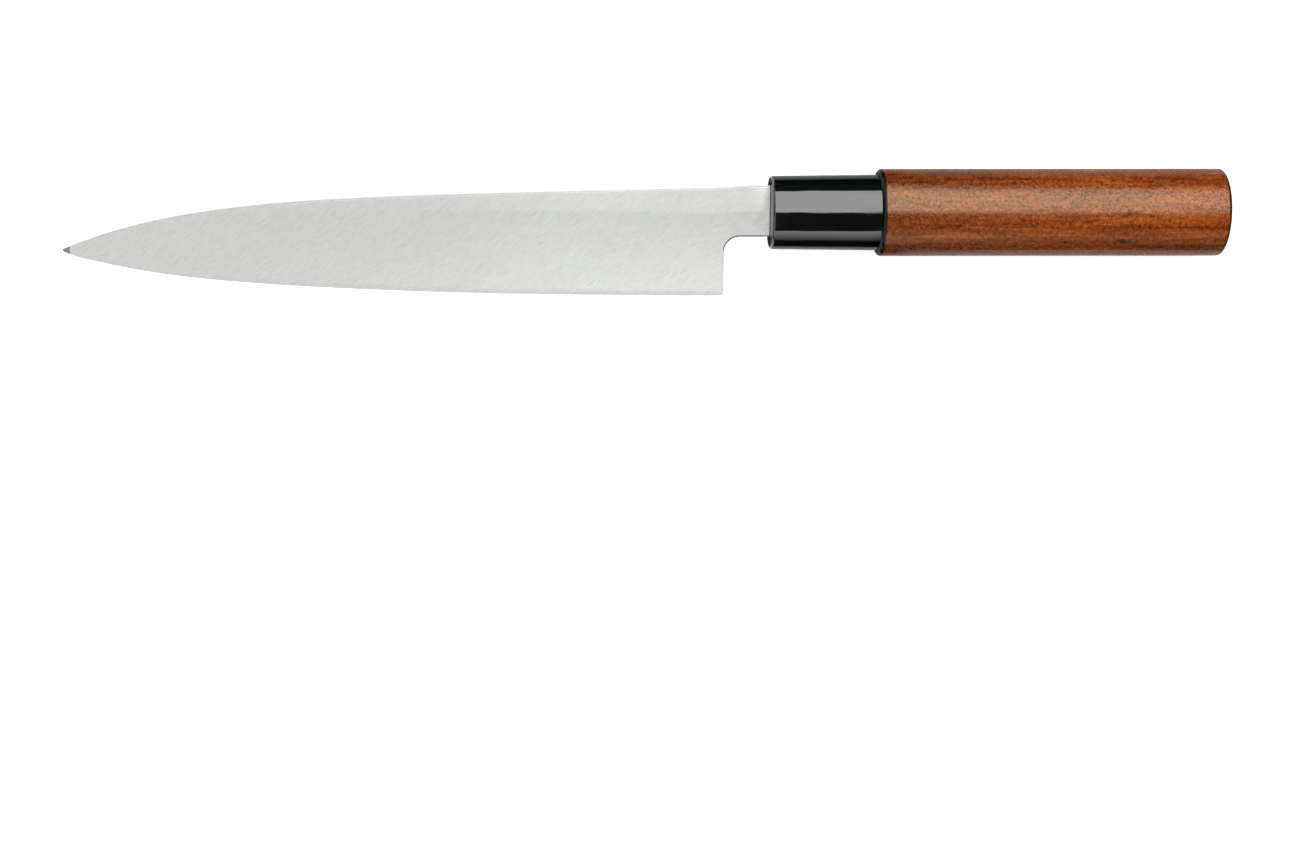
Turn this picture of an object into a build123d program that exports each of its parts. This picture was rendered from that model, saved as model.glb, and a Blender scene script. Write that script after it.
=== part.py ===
"""Single-bevel slicing knife with an oval wooden handle, lying flat with its hollow-ground face up.

The frame: +X runs along the knife from the tip to the butt, +Y from the cutting edge to the spine, and
+Z up, out of the hollow-ground face. The origin is under the middle of the knife, on the surface that the
handle rests on. Lengths are in millimetres. Places along the knife are measured from the handle's mouth,
where the neck of the blade goes in, and places across it from the handle's long axis.
"""

import os
from math import cos, pi, sin

from build123d import *

# Blade: one forging that runs from the tip to the end of the tang
blade_length = 210.0
neck_length = 13.7
heel_height = 32.3
spine_rise = 7.7
heel_thickness = 3.4
tip_thickness = 1.5
bevel_width = 11.5
spine_crown = 0.6
heel_corner_radius = 1.0
choil_radius = 4.8
neck_height = 15.2
neck_step = 0.4
neck_step_length = 6.0
neck_easing = 0.4

# Hollow grind on the upper face, with flat rims left along the edge and under the spine
hollow_depth = 0.35
edge_rim = 1.2
neck_rim = 7.6
tip_rim = 1.6

# Tang inside the handle
tang_length = 88.0
tang_front_height = 11.0
tang_end_height = 5.5
tang_front_thickness = 2.6
tang_end_thickness = 1.8

# Ferrule: a moulded sleeve with a slotted front wall
ferrule_length = 31.8
ferrule_front_height = 21.8
ferrule_front_thickness = 19.2
ferrule_flare = 0.7
ferrule_wall = 2.0
ferrule_front_wall = 2.2
ferrule_rounding = 1.2
slot_clearance = 0.3
seal_recess = 0.4

# Spacer ring between the ferrule and the wood
ring_thickness = 1.4
ring_rounding = 1.2

# Grip: oval wood with a tenon that carries the ring and the ferrule, and a blind bore for the tang
handle_length = 134.2
grip_height = 25.9
grip_thickness = 20.6
butt_rounding = 1.2
glue_gap = 0.15
bore_clearance = 0.8
bore_end_gap = 2.0

# How far a cut runs past the face that it starts from
overrun = 0.3

# Outline of the blade from the tip to the heel, one point of the spine and one of the edge in a row: their
# place as a share of the edge length, and the drop of the spine and the rise of the edge there as shares of
# the heel's height
outline_shares = [
    (0.000, 0.568, 0.418),
    (0.010, 0.540, 0.389),
    (0.041, 0.467, 0.335),
    (0.102, 0.354, 0.256),
    (0.204, 0.227, 0.166),
    (0.306, 0.150, 0.112),
    (0.459, 0.089, 0.061),
    (0.662, 0.048, 0.021),
    (0.866, 0.018, 0.005),
    (0.940, 0.009, 0.001),
    (1.000, 0.000, 0.000),
]

# The hollow runs out before the tip and reaches its full depth further back, at these shares of the length
run_out_share = 0.05
full_hollow_share = 0.3

# How fast the rim under the spine widens from the tip to the neck, as a power of the share of the length
rim_power = 1.33

# How far the hollow's arc is drawn past its rims, as a share of half its width
arc_reach_share = 1.15

# Share of the wedge's depth that stays below the crown of the spine where the bevel reaches it
crown_seat_share = 0.1

# How much of the neck's easing the back of the heel gets
heel_easing_share = 0.2

# Evenly spaced sections that shape the blade and its neck
section_count = 30

# Flat steps that round off the front rims of the ferrule and of the spacer ring
rim_step_count = 4

# Sizes that follow from the ones above
edge_length = blade_length - neck_length
edge_depth = heel_height - spine_rise
neck_top = spine_rise + neck_step
neck_bottom = neck_top - neck_height
face_height = heel_thickness / 2
bevel_slope = heel_thickness / bevel_width
grip_start = ferrule_length + ring_thickness
ferrule_back_height = ferrule_front_height + ferrule_flare
ferrule_back_thickness = ferrule_front_thickness + ferrule_flare
tenon_height = ferrule_front_height - 2 * ferrule_wall - 2 * glue_gap
tenon_thickness = ferrule_front_thickness - 2 * ferrule_wall - 2 * glue_gap
bore_depth = tang_length + bore_end_gap

# The handle's mouth and axis lie where they put the origin under the middle of the whole knife
mouth_x = (blade_length - handle_length) / 2
axis_y = (edge_depth - grip_height / 2) / 2
axis_z = grip_thickness / 2


def across(along):
    """Plane square to the knife, whose first axis points to the spine and second one up."""
    return Plane(origin=(mouth_x + along, axis_y, axis_z), x_dir=(0, 1, 0), z_dir=(1, 0, 0))


def level(height):
    """Plane parallel to the table, at a height over the handle's axis."""
    return Plane(origin=(mouth_x, axis_y, axis_z + height))


def upright():
    """Plane along the knife and square to the table, whose first axis points to the butt and second one up."""
    return Plane(origin=(mouth_x, axis_y, axis_z), x_dir=(1, 0, 0), z_dir=(0, -1, 0))


def crossing(curve, along):
    """How far from the handle's axis a curve of the outline crosses a place along the knife."""
    line = Edge.make_line((along, -heel_height, 0), (along, heel_height, 0))
    return curve.edge().intersect(line)[0].center().Y


def thickness_at(along):
    """Thickness of the blade between its flats, which tapers evenly from the heel to the tip."""
    taper_share = min(1, (along + blade_length) / edge_length)
    return tip_thickness + (heel_thickness - tip_thickness) * taper_share


def wedge(along, spine, edge):
    """Section of the blade: a wedge from the edge, flat on top, bevelled below, with a crowned spine."""
    full_depth = (spine - edge) * bevel_slope
    crown = spine_crown * min(1, full_depth / heel_thickness)
    shoulder = spine - crown
    depth = (shoulder - edge) * bevel_slope
    crown_depth = min(thickness_at(along) + overrun, depth * (1 - crown_seat_share))
    top = face_height + overrun
    with BuildSketch(across(along)) as section:
        with BuildLine():
            Polyline(
                (shoulder, face_height - crown_depth),
                (shoulder, face_height - depth),
                (edge - overrun / bevel_slope, top),
                (shoulder, top),
            )
            ThreePointArc(
                (shoulder, top),
                (spine, face_height - crown_depth / 2),
                (shoulder, face_height - crown_depth),
            )
        make_face()
    return section.sketch


def hollow(along, spine, edge):
    """Section of the hollow: a shallow arc from the edge's rim to the rim under the spine."""
    share = min(1, (along + blade_length) / edge_length)
    run_in = min(1, (share - run_out_share) / (full_hollow_share - run_out_share))
    depth = hollow_depth * sin(run_in * pi / 2)
    lower = edge + edge_rim
    upper = spine - tip_rim - (neck_rim - tip_rim) * share**rim_power
    middle = (lower + upper) / 2
    reach = (upper - lower) / 2 * arc_reach_share
    arc_end = face_height - depth + hollow_depth * arc_reach_share**2
    lid = face_height + hollow_depth + overrun
    with BuildSketch(across(along)) as section:
        with BuildLine():
            ThreePointArc((middle - reach, arc_end), (middle, face_height - depth), (middle + reach, arc_end))
            Polyline(
                (middle + reach, arc_end),
                (middle + reach, lid),
                (middle - reach, lid),
                (middle - reach, arc_end),
            )
        make_face()
    return section.sketch


def heel_cut(height, growth):
    """Plan of what is cut away behind the heel and under the neck, grown into the steel and less at the heel."""
    heel = -neck_length - growth * heel_easing_share
    floor = neck_bottom + growth
    back = ferrule_front_wall + overrun
    below = -edge_depth - overrun
    with BuildSketch(level(height)) as section:
        with BuildLine():
            Polyline(
                (heel + choil_radius, floor),
                (back, floor),
                (back, below),
                (heel, below),
                (heel, floor - choil_radius),
            )
            RadiusArc((heel, floor - choil_radius), (heel + choil_radius, floor), choil_radius)
        make_face()
    return section.sketch


def oval(along, height, thickness):
    """Oval section of the handle at a place along it."""
    with BuildSketch(across(along)) as section:
        Ellipse(height / 2, thickness / 2)
    return section.sketch


def rounded_rim(along, height, thickness, rounding):
    """Ovals that round off a front rim, from its face back to where it has its full size."""
    turns = [pi / 2 * step / rim_step_count for step in range(rim_step_count + 1)]
    return [
        oval(
            along + rounding * (1 - cos(turn)),
            height - 2 * rounding * (1 - sin(turn)),
            thickness - 2 * rounding * (1 - sin(turn)),
        )
        for turn in turns
    ]


# Curves of the spine and of the edge, which run on over the neck into the handle's mouth
with BuildLine() as spine_line:
    Spline(
        *[(edge_length * place - blade_length, spine_rise - heel_height * drop)
          for place, drop, rise in outline_shares],
        (neck_step_length - neck_length, neck_top),
        (ferrule_front_wall, neck_top),
    )
with BuildLine() as edge_line:
    Spline(
        *[(edge_length * place - blade_length, heel_height * rise - edge_depth)
          for place, drop, rise in outline_shares],
        (ferrule_front_wall, -edge_depth),
    )

section_gap = (blade_length + ferrule_front_wall) / section_count
places = [section_gap * step - blade_length for step in range(section_count + 1)]
outline = [(along, crossing(spine_line.line, along), crossing(edge_line.line, along)) for along in places]

# Blade
with BuildPart() as blade:
    loft([wedge(*row) for row in outline])

    # The hollow face is one flat plane before it is ground
    split(bisect_by=level(face_height), keep=Keep.BOTTOM)

    # The flat underneath: parallel at the neck and tapered to the tip
    with BuildSketch(upright()):
        with BuildLine():
            Polyline(
                (-blade_length - overrun, face_height - tip_thickness),
                (-blade_length, face_height - tip_thickness),
                (-neck_length, face_height - heel_thickness),
                (ferrule_front_wall + overrun, face_height - heel_thickness),
                (ferrule_front_wall + overrun, -edge_depth),
                (-blade_length - overrun, -edge_depth),
                close=True,
            )
        make_face()
    extrude(amount=heel_height, both=True, mode=Mode.SUBTRACT)

    # Behind the heel the steel is cut back to the neck, with a round choil between them
    extrude(heel_cut(face_height, 0), amount=heel_height, both=True, mode=Mode.SUBTRACT)

    # The corners that this leaves are eased underneath, and on top down to the hollow
    low_reach = neck_easing + overrun
    loft([heel_cut(-face_height - overrun, low_reach), heel_cut(low_reach - face_height, -overrun)],
         mode=Mode.SUBTRACT)
    high_reach = neck_easing + hollow_depth + overrun
    loft([heel_cut(face_height + overrun, high_reach), heel_cut(face_height - high_reach, -overrun)],
         mode=Mode.SUBTRACT)

    # The heel's corner is rounded so that it doesn't catch
    with BuildSketch(level(face_height)):
        with Locations((-neck_length, -edge_depth)):
            Rectangle(2 * heel_corner_radius, 2 * heel_corner_radius)
        with Locations((-neck_length - heel_corner_radius, heel_corner_radius - edge_depth)):
            Circle(heel_corner_radius, mode=Mode.SUBTRACT)
    extrude(amount=heel_height, both=True, mode=Mode.SUBTRACT)

    # The hollow grind passes over the heel and along the neck, into the handle's mouth
    loft([hollow(*row) for row in outline[1:]], mode=Mode.SUBTRACT)

    # The tang tapers both ways to its end in the bore
    with BuildSketch(across(ferrule_front_wall)):
        Rectangle(tang_front_height, tang_front_thickness)
    with BuildSketch(across(tang_length)):
        Rectangle(tang_end_height, tang_end_thickness)
    loft()
blade.part.label = "blade"

# Ferrule
with BuildPart() as ferrule:
    loft(
        rounded_rim(0, ferrule_front_height, ferrule_front_thickness, ferrule_rounding)
        + [oval(ferrule_length, ferrule_back_height, ferrule_back_thickness)],
        ruled=True,
    )
    with BuildSketch(across(ferrule_front_wall)):
        Ellipse(tenon_height / 2 + glue_gap, tenon_thickness / 2 + glue_gap)
    extrude(amount=ferrule_length, mode=Mode.SUBTRACT)
    with BuildSketch(across(0)):
        with Locations(((neck_top + neck_bottom) / 2, 0)):
            Rectangle(neck_height + 2 * slot_clearance, heel_thickness + 2 * slot_clearance)
    extrude(amount=ferrule_front_wall, mode=Mode.SUBTRACT)
ferrule.part.label = "ferrule"

# Spacer ring
with BuildPart() as spacer_ring:
    loft(
        rounded_rim(ferrule_length, grip_height, grip_thickness, ring_rounding)
        + [oval(grip_start, grip_height, grip_thickness)],
        ruled=True,
    )
    with BuildSketch(across(ferrule_length)):
        Ellipse(tenon_height / 2 + glue_gap, tenon_thickness / 2 + glue_gap)
    extrude(amount=ring_thickness, mode=Mode.SUBTRACT)
spacer_ring.part.label = "spacer_ring"

# Bore for the tang and its bedding
with BuildPart() as bore:
    with BuildSketch(across(ferrule_front_wall)):
        Rectangle(tang_front_height + 2 * bore_clearance, tang_front_thickness + 2 * bore_clearance)
    with BuildSketch(across(bore_depth)):
        Rectangle(tang_end_height + 2 * bore_clearance, tang_end_thickness + 2 * bore_clearance)
    loft()

# Grip
with BuildPart() as grip:
    with BuildSketch(across(grip_start)):
        Ellipse(grip_height / 2, grip_thickness / 2)
    extrude(amount=handle_length - grip_start)
    fillet(grip.edges().sort_by(Axis.X)[-1], butt_rounding)
    with BuildSketch(across(ferrule_front_wall)):
        Ellipse(tenon_height / 2, tenon_thickness / 2)
    extrude(amount=grip_start - ferrule_front_wall)
    add(bore.part, mode=Mode.SUBTRACT)
grip.part.label = "grip"

# Bedding round the tang: it fills the bore and, up to a shallow recess, the slot of the ferrule
with BuildPart() as tang_bedding:
    add(bore.part)
    with BuildSketch(across(seal_recess)):
        with Locations(((neck_top + neck_bottom) / 2, 0)):
            Rectangle(neck_height + 2 * slot_clearance, heel_thickness + 2 * slot_clearance)
    extrude(amount=ferrule_front_wall - seal_recess)
    add(blade.part, mode=Mode.SUBTRACT)
tang_bedding.part.label = "tang_bedding"

os.makedirs("parts", exist_ok=True)
for piece in (blade, ferrule, spacer_ring, grip, tang_bedding):
    export_step(piece.part, f"parts/{piece.part.label}.step")
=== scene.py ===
"""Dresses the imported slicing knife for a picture: satin steel, gloss black ferrule and ring, lacquered wood.

The knife lies flat with the hollow-ground face of its blade up. +X runs from the tip to the butt, +Y from
the cutting edge to the spine and +Z up. All lengths are in metres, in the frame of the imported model, and
every piece is a surface over two parameters: one along the knife and one round its section.
"""

from math import pi, radians

import bpy
import numpy as np
from mathutils import Matrix, Vector


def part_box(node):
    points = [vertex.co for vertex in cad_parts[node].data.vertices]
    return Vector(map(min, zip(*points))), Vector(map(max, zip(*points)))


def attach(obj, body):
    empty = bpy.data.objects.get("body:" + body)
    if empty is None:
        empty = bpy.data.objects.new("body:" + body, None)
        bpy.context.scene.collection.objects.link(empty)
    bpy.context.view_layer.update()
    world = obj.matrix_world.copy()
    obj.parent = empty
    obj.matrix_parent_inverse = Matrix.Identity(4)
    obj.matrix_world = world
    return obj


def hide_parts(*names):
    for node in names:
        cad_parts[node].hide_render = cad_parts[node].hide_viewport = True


bl_info = {
    "name": "Slicing knife",
    "version": (1, 0, 0),
    "blender": (4, 5, 0),
    "location": "View3D > Sidebar > Knife",
    "description": "Makes the pieces, finishes and studio of a single-bevel slicing knife",
    "category": "Add Mesh",
}

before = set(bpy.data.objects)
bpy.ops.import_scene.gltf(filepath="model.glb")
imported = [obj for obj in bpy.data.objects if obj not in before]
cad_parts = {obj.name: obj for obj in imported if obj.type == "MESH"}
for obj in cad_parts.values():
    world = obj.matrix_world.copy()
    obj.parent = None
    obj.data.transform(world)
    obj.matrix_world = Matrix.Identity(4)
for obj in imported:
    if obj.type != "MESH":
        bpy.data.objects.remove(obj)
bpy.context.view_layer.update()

MM = 0.001
BODY = "root"

# Edges that bend by more than this angle, in degrees, look sharp
CREASE_ANGLE = 28.0

# How close to a rounding the next row of points lies, so that the rounding's shading ends there
SHORT_STEP = 0.05 * MM

blade_low, blade_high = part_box("blade")
ferrule_low, ferrule_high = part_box("ferrule")
ring_low, ring_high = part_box("spacer_ring")
grip_low, grip_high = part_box("grip")

# The handle's mouth and axis, and the upper face of the blade
mouth_x = ferrule_low.x
axis_y = (grip_low.y + grip_high.y) / 2
axis_z = (grip_low.z + grip_high.z) / 2
face_z = blade_high.z

# Outline of the blade from the tip to the heel, one point of the spine and one of the edge in a row: their
# place as a share of the edge length, and the drop of the spine and the rise of the edge there as shares of
# the heel's height
outline_shares = np.array([
    (0.000, 0.568, 0.418),
    (0.010, 0.540, 0.389),
    (0.041, 0.467, 0.335),
    (0.102, 0.354, 0.256),
    (0.204, 0.227, 0.166),
    (0.306, 0.150, 0.112),
    (0.459, 0.089, 0.061),
    (0.662, 0.048, 0.021),
    (0.866, 0.018, 0.005),
    (0.940, 0.009, 0.001),
    (1.000, 0.000, 0.000),
])


def number(name, description, value, **limits):
    """Setting that holds a number, from nothing up."""
    return bpy.props.FloatProperty(name=name, description=description, default=value, min=0.0, **limits)


def length(name, description, millimetres):
    """Setting that holds a length."""
    return number(name, description, millimetres * MM, unit="LENGTH", precision=5)


def share(name, description, value):
    """Setting that holds a share between nothing and all."""
    return number(name, description, value, max=1.0, subtype="FACTOR")


def angle(name, description, degrees):
    """Setting that holds an angle."""
    return number(name, description, radians(degrees), subtype="ANGLE", unit="ROTATION")


def colour(name, description, value):
    """Setting that holds a colour."""
    return bpy.props.FloatVectorProperty(
        name=name, description=description, default=value, size=3, min=0.0, max=1.0, subtype="COLOR"
    )


class BladeSettings(bpy.types.PropertyGroup):
    heel_height: length("Heel height", "From the edge to the spine at the heel", 32.3)
    neck_length: length("Neck length", "From the heel to the handle's mouth", 13.7)
    spine_rise: length("Spine rise", "From the handle's axis up to the spine at the heel", 7.7)
    neck_step: length("Neck step", "How much the spine rises from the heel to the handle", 0.4)
    neck_step_length: length("Neck step length", "How far behind the heel that rise ends", 6.0)
    neck_height: length("Neck height", "From the underside of the neck to its spine", 15.2)
    neck_reach: length("Neck reach", "How far the neck runs into the ferrule", 2.2)
    choil_radius: length("Choil radius", "Radius between the back of the heel and the neck", 4.8)
    heel_corner: length("Heel corner", "Radius of the heel's corner", 1.0)
    heel_thickness: length("Heel thickness", "Thickness of the blade at the heel", 3.4)
    tip_thickness: length("Tip thickness", "Thickness between the flats at the tip", 1.5)
    bevel_width: length("Bevel width", "Width of the bevel under the heel", 11.5)
    edge_thickness: length("Edge thickness", "What is left of the steel at the very edge", 0.03)
    spine_crown: length("Spine crown", "How far the spine is rounded off at the heel", 0.6)
    tip_crown: length("Tip crown", "How far the spine is rounded off towards the tip", 0.9)
    neck_easing: length("Neck easing", "Rounding of the choil's and the neck's corners", 0.4)
    heel_easing: length("Heel easing", "Rounding of the corners at the back of the heel", 0.08)
    hollow_depth: length("Hollow depth", "Depth of the hollow grind on the upper face", 0.35)
    edge_rim: length("Edge rim", "Flat left between the hollow and the edge", 1.2)
    neck_rim: length("Neck rim", "Flat left between the hollow and the spine at the heel", 7.6)
    tip_rim: length("Tip rim", "Flat left between the hollow and the spine at the tip", 1.6)
    tang_front_height: length("Tang height", "Height of the tang where it starts", 11.0)
    tang_front_thickness: length("Tang thickness", "Thickness of the tang where it starts", 2.6)
    tang_end_height: length("Tang end height", "Height of the tang at its end", 5.5)
    tang_end_thickness: length("Tang end thickness", "Thickness of the tang at its end", 1.8)
    steel: colour("Steel", "Colour of the satin steel", (0.885, 0.90, 0.875))
    # Painted dark reflection at the very tip, which stands for a small facet there that isn't modelled
    tip_shade_length: length("Tip facet", "Length of the dull facet at the very tip", 2.2)
    grind_angle: angle("Grind angle", "Slope of the grinding marks from the knife's length", 35.0)


class HandleSettings(bpy.types.PropertyGroup):
    ferrule_height: length("Ferrule height", "Height of the ferrule at its front", 21.8)
    ferrule_thickness: length("Ferrule thickness", "Thickness of the ferrule at its front", 19.2)
    ferrule_flare: length("Ferrule flare", "How much larger the ferrule is at its back", 0.7)
    ferrule_rounding: length("Ferrule rounding", "Radius of the ferrule's front rim", 0.6)
    ferrule_wall: length("Ferrule wall", "Wall of the ferrule round the tenon", 2.0)
    ferrule_front_wall: length("Ferrule front wall", "Wall of the ferrule at its front", 2.2)
    slot_clearance: length("Slot clearance", "Gap between the neck and the ferrule's slot", 0.3)
    slot_corner: length("Slot corner", "Radius of the slot's corners", 0.25)
    glue_gap: length("Glue gap", "Gap between the tenon and what it carries", 0.15)
    ring_rounding: length("Ring rounding", "Radius of the ring's front rim", 1.2)
    butt_rounding: length("Butt rounding", "Radius of the wood's rim at the butt", 1.2)
    bore_clearance: length("Bore clearance", "Gap between the tang and the wood", 0.8)
    bore_end_gap: length("Bore end gap", "Gap between the end of the tang and the bore's", 2.0)
    black: colour("Black", "Colour of the moulded black plastic", (0.001, 0.0025, 0.0015))
    wood_dark: colour("Dark streaks", "Darkest colour of the wood", (0.095, 0.013, 0.001))
    wood_body: colour("Wood", "Main colour of the wood", (0.262, 0.044, 0.002))
    wood_light: colour("Light streaks", "Lightest colour of the wood", (0.40, 0.092, 0.009))


class StageSettings(bpy.types.PropertyGroup):
    lens: length("Lens", "Focal length on a sensor 36 mm wide", 47.04)
    sensor: length("Sensor", "Width of the sensor", 36.0)
    floor_size: length("Floor size", "Side of the floor", 6000.0)
    floor_colour: colour("Floor", "Colour of the floor", (0.80, 0.80, 0.80))
    floor_glow: number("Floor glow", "What is added where the floor itself is seen", 0.68)
    card_reach: length("Card reach", "How far the dark card under the handle reaches", 2900.0)
    card_fade: length("Card fade", "How far from the handle the card is grey before it is black", 20.0)
    card_wood_fade: length("Card fade by the wood", "The same beside the wood, whose sides are paler", 70.0)
    card_grey: share("Card grey", "Grey of the card beside the handle", 0.90)
    overhead: number("Overhead light", "Brightness of the large soft light over the blade", 1.12)
    side: number("Side light", "Brightness of the soft light beyond the spine", 3.8)
    fill: number("Fill light", "Brightness of the low soft light before the edge", 1.3)
    rim: number("Rim light", "Brightness of the large soft light behind the spine of the blade", 0.80)
    surroundings: number("Surroundings", "Brightness of the rest of the room", 0.035)


def settings(group):
    """One group of the scene's settings."""
    return getattr(bpy.context.scene, "knife_" + group)


def smooth_curve(points, count):
    """Cubic curve through points, whose pieces agree in slope and bend, with no bend at its ends.

    The curve is measured by the chords between its points. With M the bends, h the chords and d the slopes
    of the chords, M solves h0*M0 + 2*(h0+h1)*M1 + h1*M2 = 6*(d1-d0) at each inner point.
    """
    chords = np.linalg.norm(np.diff(points, axis=0), axis=1)
    knots = np.concatenate([[0], np.cumsum(chords)])
    slopes = np.diff(points, axis=0) / chords[:, None]
    matrix = np.eye(len(points))
    inner = np.arange(1, len(points) - 1)
    matrix[inner, inner - 1] = chords[:-1]
    matrix[inner, inner] = 2 * (chords[:-1] + chords[1:])
    matrix[inner, inner + 1] = chords[1:]
    right = np.zeros_like(points)
    right[inner] = 6 * np.diff(slopes, axis=0)
    bends = np.linalg.solve(matrix, right)
    places = np.linspace(0, knots[-1], count)
    piece = np.clip(np.searchsorted(knots, places, side="right") - 1, 0, len(chords) - 1)
    chord = chords[piece][:, None]
    after = (places - knots[piece])[:, None]
    before = chord - after
    return (
        bends[piece] * before**3 / (6 * chord)
        + bends[piece + 1] * after**3 / (6 * chord)
        + (points[piece] / chord - bends[piece] * chord / 6) * before
        + (points[piece + 1] / chord - bends[piece + 1] * chord / 6) * after
    )


def height_at(curve, x):
    """How far up in plan a curve lies at a place along the knife."""
    return np.interp(x, curve[:, 0], curve[:, 1])


def arc(centre, radius, start, end, count):
    """Points of an arc in plan: centre + radius * (cos, sin) of angles from start to end, in degrees."""
    turn = np.radians(np.linspace(start, end, count))
    return np.asarray(centre) + radius * np.stack([np.cos(turn), np.sin(turn)], axis=1)


def skin(name, rings, wrap=False):
    """Closed mesh over rings of points: an array of rings, places round each ring, and three coordinates.

    Each ring is closed, and neighbouring rings are joined by four-sided faces. Each end is a fan from the
    mean of its ring, or with wrap the last ring is joined to the first one instead.
    """
    count, around, _ = rings.shape
    verts = rings.reshape(-1, 3)
    ring = np.arange(count if wrap else count - 1)[:, None] * around
    after = (ring + around) % (count * around)
    place = np.arange(around)[None, :]
    beside = (place + 1) % around
    quads = np.stack([ring + place, ring + beside, after + beside, after + place], axis=-1).reshape(-1, 4)
    faces = quads.tolist()
    for end in () if wrap else (0, count - 1):
        centre = np.full(around, len(verts))
        verts = np.vstack([verts, rings[end].mean(axis=0)])
        edge = end * around + place[0]
        beyond = end * around + beside[0]
        order = (beyond, edge) if end == 0 else (edge, beyond)
        faces += np.stack([*order, centre], axis=-1).tolist()
    mesh = bpy.data.meshes.new(name)
    mesh.from_pydata(verts.tolist(), [], faces)
    if signed_volume(mesh) < 0:
        mesh.flip_normals()
    mesh.shade_smooth()
    mesh.set_sharp_from_angle(angle=radians(CREASE_ANGLE))
    mesh.validate()
    obj = bpy.data.objects.new(name, mesh)
    bpy.context.scene.collection.objects.link(obj)
    return obj


def signed_volume(mesh):
    """Volume inside a closed mesh, a sixth of its triangles' triple products; minus if it is inside out."""
    mesh.calc_loop_triangles()
    corners = np.empty(len(mesh.loop_triangles) * 3, np.int32)
    mesh.loop_triangles.foreach_get("vertices", corners)
    places = np.empty(len(mesh.vertices) * 3, np.float32)
    mesh.vertices.foreach_get("co", places)
    a, b, c = places.reshape(-1, 3).astype(float)[corners.reshape(-1, 3)].transpose(1, 0, 2)
    return float(np.einsum("ij,ij->i", a, np.cross(b, c)).sum() / 6)


def finish_piece(obj, node, material):
    """Puts a piece in its CAD node's place, with its finish."""
    obj.data.materials.append(material)
    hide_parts(node)
    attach(obj, BODY)


# Blade: rows of points across it, from the crown of the spine over each part of its section
CROWN_ROWS = 25
FLAT_ROWS = 10
HOLLOW_ROWS = 34
RIM_ROWS = 4
EASING_ROWS = 5
BEVEL_ROWS = 18
UNDERSIDE_ROWS = 12

# Columns of points along it, over each part of its lower outline
EDGE_COLUMNS = 300
CORNER_COLUMNS = 10
HEEL_COLUMNS = 20
CHOIL_COLUMNS = 16
NECK_COLUMNS = 16

# How much the columns crowd towards the tip, where the outline bends most, and the points of a dense curve
TIP_CROWDING = 0.45
CURVE_POINTS = 2000

# Where a line across the blade passes from one part of its section to the next: in how many samples that is
# sought, how far from the line's ends it stays, and how far apart the hollow's two borders stay, as shares
SECTION_SAMPLES = 400
SECTION_MARGIN = 0.03
SECTION_GAP = 0.01
LEAST_HALF_HOLLOW = 1 * MM

# Columns before and in the choil over which the easing grows, and the shares of the edge's thickness and of
# the wall between which it stays
EASING_BEFORE_CHOIL = 6
EASING_IN_CHOIL = 4
LEAST_EASING = 0.25
MOST_EASING = 0.45

# How the flat between the hollow and the spine widens from the tip to the heel
RIM_POWER = 1.33

# Where the lines that fan out over the heel meet the spine, as shares of the neck's length behind the heel
FAN_SHARES = (-1.6, -0.25, 0.05)


def blade_outline(blade):
    """Spine and edge in plan from the tip to the neck's end, as dense curves.

    Each follows its shares of the heel's height, and the spine then steps up to the neck.
    """
    tip_x = blade_low.x
    heel_x = mouth_x - blade.neck_length
    end_x = mouth_x + blade.neck_reach
    neck_top = axis_y + blade.spine_rise + blade.neck_step
    places = tip_x + (heel_x - tip_x) * outline_shares[:, 0]
    spine = axis_y + blade.spine_rise - blade.heel_height * outline_shares[:, 1]
    edge = blade_low.y + blade.heel_height * outline_shares[:, 2]
    spine_points = np.vstack([
        np.stack([places, spine], axis=1),
        [(heel_x + blade.neck_step_length, neck_top), (end_x, neck_top)],
    ])
    edge_points = np.vstack([np.stack([places, edge], axis=1), [(end_x, blade_low.y)]])
    return smooth_curve(spine_points, CURVE_POINTS), smooth_curve(edge_points, CURVE_POINTS)


def lower_outline(blade, edge_curve):
    """Lower outline in plan: the edge, the heel's corner, the back of the heel, the choil and the neck."""
    heel_x = mouth_x - blade.neck_length
    neck_low = axis_y + blade.spine_rise + blade.neck_step - blade.neck_height
    corner = blade.heel_corner
    choil = blade.choil_radius
    tip_x = edge_curve[0, 0]
    run = np.linspace(0, 1, EDGE_COLUMNS)
    edge_x = tip_x + (heel_x - corner - tip_x) * ((1 - TIP_CROWDING) * run + TIP_CROWDING * run**2)
    edge_part = np.stack([edge_x, height_at(edge_curve, edge_x)], axis=1)
    corner_part = arc((heel_x - corner, edge_part[-1, 1] + corner), corner, -90, 0, CORNER_COLUMNS)
    choil_part = arc((heel_x + choil, neck_low - choil), choil, 180, 90, CHOIL_COLUMNS)
    heel_part = np.linspace(corner_part[-1], choil_part[0], HEEL_COLUMNS)
    neck_part = np.linspace(choil_part[-1], (mouth_x + blade.neck_reach, neck_low), NECK_COLUMNS)
    line = np.vstack([edge_part, corner_part[1:], heel_part[1:], choil_part[1:], neck_part[1:]])
    counts = np.cumsum([EDGE_COLUMNS, CORNER_COLUMNS - 1, HEEL_COLUMNS - 1, CHOIL_COLUMNS - 1])
    return line, counts


def outward(line, side):
    """Unit vectors square to a line in plan, to its left with side 1 and to its right with side -1."""
    along = np.gradient(line, axis=0)
    along /= np.linalg.norm(along, axis=1)[:, None]
    return side * np.stack([-along[:, 1], along[:, 0]], axis=1)


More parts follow.
